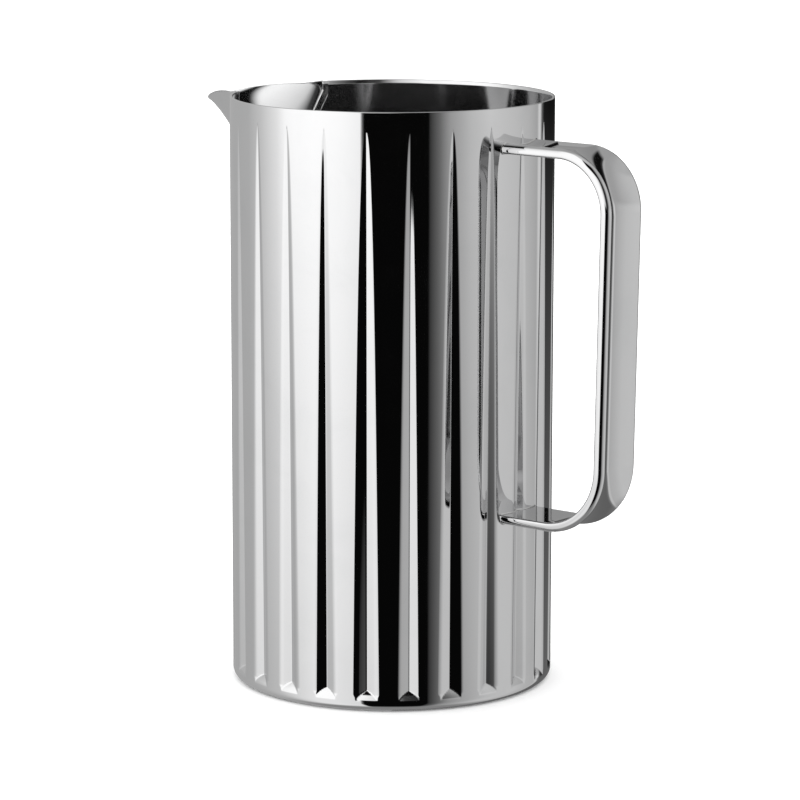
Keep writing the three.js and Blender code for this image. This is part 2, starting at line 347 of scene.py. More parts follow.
# ------------------------------------------------------------------ node trees
class Wire:
    """An output socket that can be used in sums; each operator adds one Math node."""

    def __init__(self, tree: "Tree", socket: bpy.types.NodeSocket) -> None:
        """Wraps a socket of the tree."""
        self.tree = tree
        self.socket = socket

    def _math(self, operation: str, first: "Wire | float", second: "Wire | float") -> "Wire":
        """One Math node on two values."""
        return self.tree.add("ShaderNodeMath", {"operation": operation}, {0: first, 1: second})

    def __add__(self, other: "Wire | float") -> "Wire":
        """This value plus another."""
        return self._math("ADD", self, other)

    def __radd__(self, other: float) -> "Wire":
        """A number plus this value."""
        return self._math("ADD", other, self)

    def __sub__(self, other: "Wire | float") -> "Wire":
        """This value less another."""
        return self._math("SUBTRACT", self, other)

    def __rsub__(self, other: float) -> "Wire":
        """A number less this value."""
        return self._math("SUBTRACT", other, self)

    def __mul__(self, other: "Wire | float") -> "Wire":
        """This value times another."""
        return self._math("MULTIPLY", self, other)

    def __rmul__(self, other: float) -> "Wire":
        """A number times this value."""
        return self._math("MULTIPLY", other, self)

    def __truediv__(self, other: "Wire | float") -> "Wire":
        """This value divided by another."""
        return self._math("DIVIDE", self, other)

    def power(self, exponent: float) -> "Wire":
        """This value raised to an exponent."""
        return self._math("POWER", self, exponent)

    def bearing(self, other: "Wire") -> "Wire":
        """The angle whose tangent is this value over another, from minus pi to pi."""
        return self._math("ARCTAN2", self, other)


class Tree:
    """A node tree that is filled through one method."""

    def __init__(self, node_tree: bpy.types.NodeTree) -> None:
        """Empties the node tree and keeps it."""
        self.nodes = node_tree.nodes
        self.links = node_tree.links
        self.nodes.clear()

    def add(self, kind: str, settings: dict[str, object] | None = None,
            inputs: dict[int | str, object] | None = None, output: int | str = 0) -> Wire:
        """Adds one node: its settings first, then the values or links of its sockets.

        Args:
            kind: The node's type.
            settings: Properties to set; "stops" fills a colour ramp with (place, grey) pairs.
            inputs: A value or a Wire for each socket, by number or name.
            output: Which output to return.

        Returns:
            The chosen output, ready for use in sums.
        """
        node = self.nodes.new(kind)
        for key, value in (settings or {}).items():
            if key == "stops":
                self._fill_ramp(node.color_ramp, value)
            else:
                setattr(node, key, value)
        for key, value in (inputs or {}).items():
            if isinstance(value, Wire):
                self.links.new(value.socket, node.inputs[key])
            else:
                node.inputs[key].default_value = value
        return Wire(self, node.outputs[output] if node.outputs else None)

    def _fill_ramp(self, ramp: bpy.types.ColorRamp, stops: Sequence[tuple[float, float]]) -> None:
        """Sets the stops of a colour ramp.

        Args:
            ramp: The ramp, which starts with two stops.
            stops: Places from 0 to 1 in rising order, each with a grey level.
        """
        for _ in range(len(stops) - 2):
            ramp.elements.new(0.5)
        for element, (place, _) in zip(ramp.elements, stops):
            element.position = place
        for element, (_, level) in zip(ramp.elements, stops):
            element.color = grey(level)

    def blend(self, factor: Wire | float, first: object, second: object) -> Wire:
        """Mixes two colours by a factor."""
        settings = {"data_type": "RGBA"}
        return self.add("ShaderNodeMix", settings, {0: factor, 6: first, 7: second}, 2)

    def threshold(self, value: Wire, edge: tuple[float, float]) -> Wire:
        """Nought below the edge's lower end, one above its upper end, and even between."""
        return self.add("ShaderNodeValToRGB", {"stops": [(edge[0], 0.0), (edge[1], 1.0)]}, {0: value})

    def passing(self, value: Wire, span: tuple[float, float], smooth: bool = True) -> Wire:
        """How far the value has passed from the span's first end to its second, from 0 to 1.

        Args:
            value: The value to follow.
            span: Where the passage starts and ends.
            smooth: Whether it starts and ends gently.

        Returns:
            The share passed.
        """
        settings = {"clamp": True, "interpolation_type": "SMOOTHSTEP" if smooth else "LINEAR"}
        inputs = {"Value": value, "From Min": span[0], "From Max": span[1]}
        return self.add("ShaderNodeMapRange", settings, inputs)

    def bump(self, height: Wire, depth: float) -> Wire:
        """Relief from a height between 0 and 1 and a depth in millimetres."""
        return self.add("ShaderNodeBump", {}, {"Height": height, "Strength": 1.0, "Distance": depth * MM})

    def finish_metal(self, tint: Wire, roughness: Wire, normal: Wire) -> None:
        """Ends the tree with a bare metal of the given tint, roughness and relief."""
        metal = self.add("ShaderNodeBsdfPrincipled", {}, {"Base Color": tint, "Metallic": 1.0,
                                                          "Roughness": roughness, "Normal": normal})
        self.add("ShaderNodeOutputMaterial", {}, {"Surface": metal})


def grey(level: float) -> tuple[float, float, float, float]:
    """A colour with the same red, green and blue."""
    return (level, level, level, 1.0)


def new_material(name: str) -> tuple[bpy.types.Material, Tree]:
    """A new material and its empty tree."""
    material = bpy.data.materials.new(name)
    material.use_nodes = True
    return material, Tree(material.node_tree)


# ------------------------------------------------------------------ finishes
@dataclass(frozen=True)
class MirrorFinish:
    """Buffed sheet steel: a near mirror with faint smears, hairlines and a slow waviness."""

    name: str
    tint: tuple[float, float, float, float] = (0.665, 0.665, 0.668, 1.0)
    smear_tint: tuple[float, float, float, float] = (0.64, 0.642, 0.645, 1.0)
    roughness: float = 0.035
    smear: float = 0.03
    hairline: float = 0.018
    inner_roughness: float = 0.05
    wave_scale: float = 28.0
    wave_height: float = 0.012
    hairline_stretch: tuple[float, float, float] = (1.0, 1.0, 0.04)
    hairline_scale: float = 900.0
    smear_scale: float = 42.0
    smear_edge: tuple[float, float] = (0.48, 0.74)
    hairline_edge: tuple[float, float] = (0.56, 0.72)

    def material(self) -> bpy.types.Material:
        """Builds the material.

        Returns:
            A metal whose roughness, tint and bump vary over the piece.
        """
        material, tree = new_material(self.name)
        place = tree.add("ShaderNodeTexCoord", output="Object")
        smears = tree.add("ShaderNodeTexNoise", {}, {"Vector": place, "Scale": self.smear_scale,
                                                     "Detail": 5.0, "Roughness": 0.62, "Distortion": 0.6})
        patch = tree.threshold(smears, self.smear_edge)
        drawn = tree.add("ShaderNodeMapping", {}, {"Vector": place, "Scale": self.hairline_stretch})
        hairs = tree.add("ShaderNodeTexNoise", {}, {"Vector": drawn, "Scale": self.hairline_scale,
                                                    "Detail": 3.0, "Roughness": 0.7})
        lines = tree.threshold(hairs, self.hairline_edge)
        waves = tree.add("ShaderNodeTexNoise", {}, {"Vector": place, "Scale": self.wave_scale,
                                                    "Detail": 1.0, "Roughness": 0.4})
        bump = tree.bump(waves, self.wave_height)
        inner = tree.add("ShaderNodeAttribute", {"attribute_name": INNER_SIDE}, {}, "Fac")
        roughness = self.roughness + patch * self.smear + lines * self.hairline + inner * self.inner_roughness
        tint = tree.blend(patch, self.tint, self.smear_tint)
        tree.finish_metal(tint, roughness, bump)
        return material


@dataclass(frozen=True)
class TurnedFinish:
    """Satin steel turned on a lathe: fine rings about the upright axis."""

    name: str
    tint: tuple[float, float, float, float] = (0.62, 0.62, 0.625, 1.0)
    worn_tint: tuple[float, float, float, float] = (0.54, 0.54, 0.542, 1.0)
    roughness: float = 0.24
    wear: float = 0.14
    ring_scale: float = 1500.0
    ring_height: float = 0.004
    ring_roughness: float = 0.12
    scuff_scale: float = 60.0
    scuff_edge: tuple[float, float] = (0.45, 0.72)

    def material(self) -> bpy.types.Material:
        """Builds the material.

        Returns:
            A brushed metal with rings in its bump and wear in its roughness and tint.
        """
        material, tree = new_material(self.name)
        place = tree.add("ShaderNodeTexCoord", output="Object")
        flat = tree.add("ShaderNodeVectorMath", {"operation": "MULTIPLY"}, {0: place, 1: (1.0, 1.0, 0.0)})
        radius = tree.add("ShaderNodeVectorMath", {"operation": "LENGTH"}, {0: flat}, "Value")
        along = tree.add("ShaderNodeCombineXYZ", {}, {"X": radius})
        rings = tree.add("ShaderNodeTexNoise", {}, {"Vector": along, "Scale": self.ring_scale,
                                                    "Detail": 4.0, "Roughness": 0.6})
        scuffs = tree.add("ShaderNodeTexNoise", {}, {"Vector": place, "Scale": self.scuff_scale,
                                                     "Detail": 6.0, "Roughness": 0.65, "Distortion": 1.2})
        worn = tree.threshold(scuffs, self.scuff_edge)
        bump = tree.bump(rings, self.ring_height)
        roughness = self.roughness + worn * self.wear + (rings - 0.5) * self.ring_roughness
        tint = tree.blend(worn, self.tint, self.worn_tint)
        tree.finish_metal(tint, roughness, bump)
        return material


@dataclass(frozen=True)
class WeldFinish:
    """A dressed weld: polished over with the rest, with a slight ripple and dull patches left."""

    name: str
    tint: tuple[float, float, float, float] = (0.65, 0.65, 0.652, 1.0)
    heat_tint: tuple[float, float, float, float] = (0.58, 0.575, 0.565, 1.0)
    roughness: float = 0.07
    dull: float = 0.16
    ripple_scale: float = 1400.0
    ripple_height: float = 0.02
    blotch_scale: float = 210.0
    blotch_edge: tuple[float, float] = (0.46, 0.66)

    def material(self) -> bpy.types.Material:
        """Builds the material.

        Returns:
            A metal with dull patches and a fine ripple.
        """
        material, tree = new_material(self.name)
        place = tree.add("ShaderNodeTexCoord", output="Object")
        ripple = tree.add("ShaderNodeTexNoise", {}, {"Vector": place, "Scale": self.ripple_scale,
                                                     "Detail": 2.0})
        blotch = tree.add("ShaderNodeTexNoise", {}, {"Vector": place, "Scale": self.blotch_scale,
                                                     "Detail": 4.0})
        patch = tree.threshold(blotch, self.blotch_edge)
        bump = tree.bump(ripple, self.ripple_height)
        roughness = self.roughness + patch * self.dull
        tint = tree.blend(patch, self.tint, self.heat_tint)
        tree.finish_metal(tint, roughness, bump)
        return material


def dress(piece: bpy.types.Object, material: bpy.types.Material, slot: Slot, *nodes: str) -> bpy.types.Object:
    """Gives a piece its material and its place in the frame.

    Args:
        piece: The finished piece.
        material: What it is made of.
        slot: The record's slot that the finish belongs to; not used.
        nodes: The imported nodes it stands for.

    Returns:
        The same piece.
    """
    piece.data.materials.append(material)
    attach(piece, ROOT)
    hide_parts(*nodes)
    return piece


# ------------------------------------------------------------------ the notch for the spout
@dataclass(frozen=True)
class Notch:
    """The V in the rim that the spout is welded into, laid out along the wall."""

    body_radius: float
    body_height: float
    half_angle: float = math.radians(25.0)
    depth: float = 38.0
    side: float = 3.5
    power: float = 1.35

    def outline(self, s: np.ndarray) -> tuple[np.ndarray, np.ndarray]:
        """The bare V: a power curve down to its middle, and straight up past either end.

        Args:
            s: From -1 to 1 along the V; past that the edge climbs to the rim.

        Returns:
            The distance round the wall from the spout's middle, and the height from the rim.
        """
        along = np.minimum(np.abs(s), 1.0)
        climb = np.maximum(np.abs(s) - 1.0, 0.0) * self.depth
        fall = 1.0 - along**self.power
        arc = np.sign(s) * along * self.half_angle * self.body_radius
        return arc, climb - self.side - (self.depth - self.side) * fall

    def edge(self, s: np.ndarray, grow: np.ndarray) -> tuple[np.ndarray, np.ndarray]:
        """The V moved outwards along the wall, at right angles to itself.

        Args:
            s: From -1 to 1 along the V.
            grow: How far the edge is moved outwards.

        Returns:
            The distance round the wall, and the height from the rim.
        """
        arc, drop = self.outline(s)
        arc_before, drop_before = self.outline(s - 0.01)
        arc_after, drop_after = self.outline(s + 0.01)
        side = unit(stack(drop_after - drop_before, arc_before - arc_after))
        return arc + side[..., 0] * grow, drop + side[..., 1] * grow

    def point(self, s: np.ndarray, grow: np.ndarray, radius: np.ndarray) -> np.ndarray:
        """A point of the moved edge, at a radius from the axis."""
        arc, drop = self.edge(s, grow)
        angle = arc / self.body_radius
        return stack(-radius * np.cos(angle), -radius * np.sin(angle), self.body_height + drop)

    def rim_height(self, bearing: np.ndarray, grow: float) -> np.ndarray:
        """The height of the wall's upper edge at bearings from the spout's middle.

        Args:
            bearing: Angles from the spout's middle, in radians.
            grow: How far the V is moved outwards.

        Returns:
            The moved V inside its sides, and the full height outside them.
        """
        s = np.linspace(0.0, 1.0, 400)
        arc, drop = self.edge(s, np.full_like(s, grow))
        arc = np.maximum.accumulate(arc)
        lowered = self.body_height + np.interp(np.abs(bearing) * self.body_radius, arc, drop)
        inside = np.abs(bearing) < self.half_angle + grow / self.body_radius
        return np.where(inside, lowered, self.body_height)


# ------------------------------------------------------------------ body
@dataclass(frozen=True)
class Flutes:
    """The V grooves pressed into the wall: how wide and how deep each is at a height."""

    body_radius: float
    top: float
    count: int = 24
    foot: float = 7.2
    end: float = 3.5
    half_width: float = 3.75
    depth: float = 1.71
    width_power: float = 0.42
    depth_power: float = 0.6
    least_half_width: float = 0.3
    crease: float = 0.035
    shoulder: float = 0.29
    foot_softness: float = 0.1
    foot_turn: float = 0.03
    foot_power: float = 1.8
    turn_change: float = 0.5
    tip_fade: float = 0.05
    flattening: float = 0.5

    def width_at(self, z: np.ndarray) -> np.ndarray:
        """Half the groove's width: a power of the way down from its tip."""
        down = np.clip((self.top - z) / (self.top - self.foot), 0.0, 1.0)
        return np.maximum(self.half_width * down**self.width_power, self.least_half_width)

    def depth_at(self, z: np.ndarray, angle: np.ndarray) -> np.ndarray:
        """How far the wall is pressed in.

        Two facets fall evenly to a crease. Near the foot a power curve of the height left
        rises outwards across them. A little of the wall's own roundness is taken out of the facets.

        Args:
            z: Heights.
            angle: Angles round the axis from the handle.

        Returns:
            The depth, measured towards the axis.
        """
        pitch = 2.0 * math.pi / self.count
        across = np.abs((angle + pitch / 2.0) % pitch - pitch / 2.0) * self.body_radius
        half = self.width_at(z)
        share = across / half
        down = np.clip((self.top - z) / (self.top - self.foot), 0.0, 1.0)
        deepest = self.depth * down**self.depth_power
        left = (z - self.end) / (self.foot - self.end)
        closing = np.where(left > 0.0, np.maximum(left, 0.0) ** self.foot_power, left)
        fall = 1.0 - np.sqrt(share**2 + self.crease**2)
        turn = self.foot_turn + (self.shoulder - self.foot_turn) * smooth_step(closing, 0.0, self.turn_change)
        fall = positive_part(soft_minimum(fall, closing, self.foot_softness), turn)
        inner = np.clip(share, 0.0, 1.0)
        roundness = half**2 / (2.0 * self.body_radius) * inner * (1.0 - inner)
        open_part = smooth_step(closing, 0.0, 1.0) * smooth_step(down, 0.0, self.tip_fade)
        return deepest * fall + self.flattening * roundness * open_part


@dataclass(frozen=True)
class BodyShell:
    """The wall with its turned-in foot, its round rim, its flutes and the notch for the spout."""

    measures: Measures
    flutes: Flutes
    notch: Notch
    wall: float = 1.0
    corner_radius: float = 3.0
    rim_radius: float = 0.25
    flange_edge: float = 0.3
    notch_grow: float = 1.4
    lowered_from: float = 150.0
    inner_tip_drop: float = 34.0
    foot_rows: int = 19
    middle_rows: int = 16
    tip_rows: int = 15
    tip_run: float = 14.0
    side_gap: float = 0.0008

    def profile(self) -> RoundedPath:
        """The section of the wall, from the flange's edge round the outside and back inside."""
        m, t = self.measures, self.wall
        corners = [
            (m.flange_radius, 0.0),
            (m.body_radius, 0.0),
            (m.body_radius, m.body_height),
            (m.body_radius - t, m.body_height),
            (m.body_radius - t, t),
            (m.flange_radius, t),
        ]
        inner_corner = self.corner_radius - t
        radii = [self.flange_edge, self.corner_radius, self.rim_radius, self.rim_radius, inner_corner,
                 self.flange_edge]
        return RoundedPath(corners, radii, closed=True)

    def wall_rows(self) -> np.ndarray:
        """Shares of the wall's straight run that carry a row: close together at foot and tips."""
        low, high = self.corner_radius, self.measures.body_height - self.rim_radius
        above_foot = self.flutes.foot + 1.0
        foot = np.linspace(low, above_foot, self.foot_rows)[:-1]
        middle = np.linspace(above_foot, self.flutes.top - self.tip_run, self.middle_rows)[:-1]
        tips = self.flutes.top - self.tip_run * np.linspace(1.0, 0.0, self.tip_rows) ** 2
        rim = np.linspace(self.flutes.top + 1.2, high, 5)[:-1]
        heights = np.concatenate([foot, middle, tips, rim])
        return (heights - low) / (high - low)

    def inside_rows(self) -> np.ndarray:
        """Shares of the inner run, from the rim down: every second one of the outer run's rows."""
        return (1.0 - self.wall_rows()[::-1])[:-1][::2]

    def top_share(self, angle: np.ndarray) -> np.ndarray:
        """How much of the height above the lowered part is left at each angle."""
        bearing = (angle + 2.0 * math.pi) % (2.0 * math.pi) - math.pi
        top = self.notch.rim_height(bearing, self.notch_grow)
        return (top - self.lowered_from) / (self.measures.body_height - self.lowered_from)

    def lowered(self, z: np.ndarray, share: np.ndarray) -> np.ndarray:
        """Heights pressed down so that the rim follows the notch."""
        above = np.maximum(z - self.lowered_from, 0.0)
        return np.where(z > self.lowered_from, self.lowered_from + above * share, z)

    def columns(self, z: np.ndarray) -> np.ndarray:
        """The angle of every column at each row.

        Columns follow the creases and shoulders of the grooves, which widen on the way down.
        On the land between two grooves a close pair of columns marks each side of the notch.

        Args:
            z: The height of each row.

        Returns:
            Rows by columns of angles from the handle.
        """
        f = self.flutes
        pitch = 2.0 * math.pi / f.count
        half = np.array([0.03, 0.075, 0.18, 0.36, 0.54, 0.7, 0.8, 0.9, 1.0, 1.1, 1.2, 1.3])
        groove = np.concatenate([-half[::-1], [0.0], half])
        side = self.notch.half_angle + self.notch_grow / f.body_radius
        mark = side - pitch * math.floor(side / pitch)
        centres = np.arange(f.count) * pitch
        height = self.lowered(z[:, None], self.top_share(centres)[None, :])
        shoulder = half[-1] * f.width_at(height) / f.body_radius
        far = np.clip((mark - shoulder) / (pitch - 2.0 * shoulder), 0.6, 0.9)
        near, hair = 1.0 - far, self.side_gap
        steps = [0.5 * near, near - hair, near + hair]
        steps += [near + (far - near) * share for share in (0.2, 0.4, 0.6, 0.8)]
        steps += [far - hair, far + hair, 0.5 * (1.0 + far)]
        land = [shoulder + (pitch - 2.0 * shoulder) * step for step in steps]
        grooves = [shoulder / half[-1] * share for share in groove]
        offsets = np.stack(grooves + land, axis=-1)
        return (centres[None, :, None] + offsets).reshape(len(z), -1)

    def surface(self, distance: np.ndarray, angle: np.ndarray, share: np.ndarray) -> np.ndarray:
        """A point of the wall: the section's radius less the groove's depth, turned about the axis.

        Args:
            distance: Along the section.
            angle: Round the axis, from the handle.
            share: How much of the height above the lowered part is left.

        Returns:
            Points in millimetres.
        """
        radius, z = self.profile().at(distance)
        z = self.lowered(z, share)
        outer = self.flutes.depth_at(z, angle)
        inner = replace(self.flutes, top=self.flutes.top - self.inner_tip_drop).depth_at(z, angle)
        bare = radius - np.where(self.is_inside(distance), inner, outer)
        return stack(bare * np.cos(angle), bare * np.sin(angle), z)

    def is_inside(self, distance: np.ndarray) -> np.ndarray:
        """Whether places along the section are past the top of the rim, on the inner side."""
        starts = self.profile().starts
        return distance % self.profile().length > (starts[5] + starts[6]) / 2.0

    def wall_x(self, across: np.ndarray, z: np.ndarray) -> np.ndarray:
        """How far out along the handle's direction the wall stands, at a place across it."""
        radius = self.measures.body_radius
        angle = np.arcsin(across / radius)
        bare = radius - self.flutes.depth_at(z, angle)
        return np.sqrt(bare**2 - across**2)

    def build(self, material: bpy.types.Material) -> bpy.types.Object:
        """Builds and dresses the body.

        Args:
            material: The sheet's finish.

        Returns:
            The finished piece.
        """
        path = self.profile()
        shares = [even(2), even(2), even(9), self.wall_rows(), even(5), even(1), even(5),
                  self.inside_rows(), even(6), even(3), even(2), even(2)]
        rows = path.stations(shares)
        angle = self.columns(path.at(rows)[1])
        distance = np.repeat(rows[:, None], angle.shape[1], axis=1)
        share = self.top_share(angle)
        points = self.surface(distance, angle, share)
        normals = grid_normals(lambda d, a: self.surface(d, a, share), distance, angle, (0.01, 2e-4))
        piece = Skin("pitcher_body", points, normals, Caps.JOINED).build(self.is_inside(distance))
        return dress(piece, material, Slot.SHEET, "body_shell")


# ------------------------------------------------------------------ spout
@dataclass(frozen=True)
class Spout:
    """The pressed lip that fills the notch, and the weld that joins it to the wall."""

    measures: Measures
    notch: Notch
    wall: float = 1.0
    dip: float = 0.8
    droop: float = 4.6
    tip_back: float = 2.6
    droop_power: float = 2.4
    nose: float = 6.5
    sweep: float = 6.0
    low_bow: tuple[float, float] = (1.0, 7.0)
    high_bow: tuple[float, float] = (3.0, 8.5)
    bow_power: float = 0.8
    rise_span: float = 0.03
    columns: int = 96
    seam_inner: float = -0.12
    seam_inner_behind: float = -0.75
    seam_outer: float = 2.0
    seam_proud: float = 0.07
    seam_inner_proud: float = 0.015
    seam_sunk: float = 0.05
    seam_inner_sunk: float = 0.01
    seam_top_gap: float = 0.12

    def lip(self, s: np.ndarray) -> np.ndarray:
        """The upper edge: from above it leaves along the rim, sweeps out and closes in a round nose.

        Args:
            s: From -1 to 1 round the lip.

        Returns:
            Points in millimetres.
        """
        m = self.measures
        t = np.abs(s)
        leave_out = m.body_radius * math.cos(self.notch.half_angle)
        leave_across = m.body_radius * math.sin(self.notch.half_angle)
        turn_out = leave_out + self.sweep * math.sin(self.notch.half_angle)
        turn_across = leave_across - self.sweep * math.cos(self.notch.half_angle)
        tip = m.spout_tip - self.tip_back
        out = bezier(tip, tip, turn_out, leave_out, t)
        across = bezier(0.0, self.nose, turn_across, leave_across, t)
        reach = np.clip((out - m.body_radius) / (tip - m.body_radius), 0.0, 1.0)
        dip = self.dip * smooth_step(1.0 - t, 0.0, 0.3)
        z = m.body_height - dip - self.droop * reach**self.droop_power - self.wall / 2.0
        return stack(-out, -np.sign(s) * across, z)

    def skin(self, s: np.ndarray, t: np.ndarray) -> np.ndarray:
        """The outer face: a cubic curve from the notch up to the lip, bowed down towards its middle.

        Args:
            s: From -1 to 1 round the spout.
            t: From 0 at the notch to 1 at the lip.

        Returns:
            Points in millimetres.
        """
        foot = self.notch.point(s, np.zeros_like(s), np.full_like(s, self.measures.body_radius))
        lip = self.lip(s)
        bow = (1.0 - np.minimum(np.abs(s), 1.0)) ** self.bow_power
        (low_out, low_up), (high_out, high_up) = self.low_bow, self.high_bow
        first = foot + (lip - foot) / 3.0 + stack(-low_out * bow, 0.0 * bow, low_up * bow)
        second = foot + (lip - foot) * 2.0 / 3.0 + stack(-high_out * bow, 0.0 * bow, high_up * bow)
        return bezier(foot, first, second, lip, t[..., None])

    def rise(self, s: np.ndarray) -> np.ndarray:
        """The way the sheet runs where it reaches the lip."""
        top = np.ones_like(s)
        return unit(self.skin(s, top) - self.skin(s, top - self.rise_span))

    def outward(self, s: np.ndarray, t: np.ndarray) -> np.ndarray:
        """The normal of the outer face, which looks away from the pitcher's axis."""
        inside = np.clip(s, -0.995, 0.995)
        return -grid_normals(self.skin, inside, np.clip(t, 0.004, 0.996), (0.004, 0.004))

    def section(self, s: np.ndarray, turn: np.ndarray) -> np.ndarray:
        """The closed section: up the outer face, over a round lip and down the inner face.

        Args:
            s: From -1 to 1 round the spout.
            turn: From 0 to 1 up the outside, to 2 over the lip, to 3 down the inside and to 4
                across the foot.

        Returns:
            Points in millimetres.
        """
        up = np.clip(turn, 0.0, 1.0)
        down = np.clip(3.0 - turn, 0.0, 1.0)
        t = np.where(turn < 1.5, up, down)
        normal = self.outward(s, t)
        face = self.skin(s, t)
        over = math.pi * np.clip(turn - 1.0, 0.0, 1.0)
        rise = self.rise(s)
        half = self.wall / 2.0
        arc = half * (np.cos(over) - 1.0)[..., None] * normal + half * np.sin(over)[..., None] * rise
        on_lip = (turn > 1.0) & (turn < 2.0)
        inner = -self.wall * normal
        foot = np.clip(turn - 3.0, 0.0, 1.0)[..., None]
        behind = np.where((turn >= 2.0)[..., None], inner * (1.0 - foot), 0.0)
        return face + np.where(on_lip[..., None], arc, behind)

    def build(self, material: bpy.types.Material) -> bpy.types.Object:
        """Builds and dresses the spout.

        Args:
            material: The spout's finish.

        Returns:
            The finished piece.
        """
        s = np.sin(np.linspace(-0.5, 0.5, self.columns + 1) * math.pi * 0.5) / math.sin(math.pi * 0.25)
        levels = np.linspace(0.0, 1.0, 33)
        over = 1.0 + np.linspace(0.0, 1.0, 9)[1:-1]
        turn = np.concatenate([levels, over, 2.0 + levels, [3.5]])
        s_grid, turn_grid = np.meshgrid(s, turn, indexing="ij")
        points = self.section(s_grid, turn_grid)
        normals = self.section_normals(s_grid, turn_grid)
        piece = Skin("pitcher_spout", points, normals, Caps.FANNED).build(turn_grid > 1.5)
        return dress(piece, material, Slot.SPOUT, "spout")

    def section_normals(self, s: np.ndarray, turn: np.ndarray) -> np.ndarray:
        """The normals of the closed section.

        Args:
            s: From -1 to 1 round the spout.
            turn: Round the section, as for the section itself.

        Returns:
            Unit vectors that point out of the sheet.
        """
        t = np.where(turn < 1.5, np.clip(turn, 0.0, 1.0), np.clip(3.0 - turn, 0.0, 1.0))
        normal = self.outward(s, t)
        rise = self.rise(s)
        over = (math.pi * np.clip(turn - 1.0, 0.0, 1.0))[..., None]
        lip = unit(np.cos(over) * normal + np.sin(over) * rise)
        on_lip = ((turn > 1.0) & (turn < 2.0))[..., None]
        inner = (turn >= 2.0)[..., None]
        below = (turn > 3.2)[..., None]
        found = np.where(on_lip, lip, np.where(inner, -normal, normal))
        return np.where(below, -rise, found)

    def seam_section(self, s: np.ndarray, around: np.ndarray) -> np.ndarray:
        """The weld's section: a low crown outside, another inside, and straight sides through the wall.

        Args:
            s: Along the notch's edge.
            around: From 0 to 1 over the outer crown, to 2 through the wall, to 3 over the inner
                crown and to 4 back out.

        Returns:
            Points in millimetres.
        """
        near = np.where(around < 1.5, self.seam_inner, self.seam_inner_behind)
        half = (self.seam_outer - near) / 2.0
        middle = (self.seam_outer + near) / 2.0
        outer = np.clip(around, 0.0, 1.0)
        inner = np.clip(around - 2.0, 0.0, 1.0)
        across = np.where(around < 1.5, 1.0 - 2.0 * outer, 2.0 * inner - 1.0)
        crown = 1.0 - across**2
        radius = self.measures.body_radius
        outside = radius - self.seam_sunk + self.seam_proud * crown
        inside = radius - self.wall + self.seam_inner_sunk - self.seam_inner_proud * crown
        place = np.where(around < 1.5, outside, inside)
        return self.notch.point(s, middle + half * across, place)

    def build_seam(self, material: bpy.types.Material) -> bpy.types.Object:
        """Builds and dresses the weld between the spout and the wall.

        Args:
            material: The weld's finish.

        Returns:
            The finished piece.
        """
        top = 1.0 + (self.notch.side - self.seam_top_gap) / self.notch.depth
        run = np.sin(np.linspace(-0.5, 0.5, 121) * math.pi * 0.5) / math.sin(math.pi * 0.25)
        s = np.concatenate([[-top, -1.06, -1.03, -1.012], run, [1.012, 1.03, 1.06, top]])
        crown = np.linspace(0.0, 1.0, 7)
        around = np.concatenate([crown, 2.0 + crown])
        s_grid, around_grid = np.meshgrid(s, around, indexing="ij")
        points = self.seam_section(s_grid, around_grid)
        piece = Skin("spout_weld", points, None, Caps.FANNED).build()
        return dress(piece, material, Slot.WELD, "spout_weld_seam")


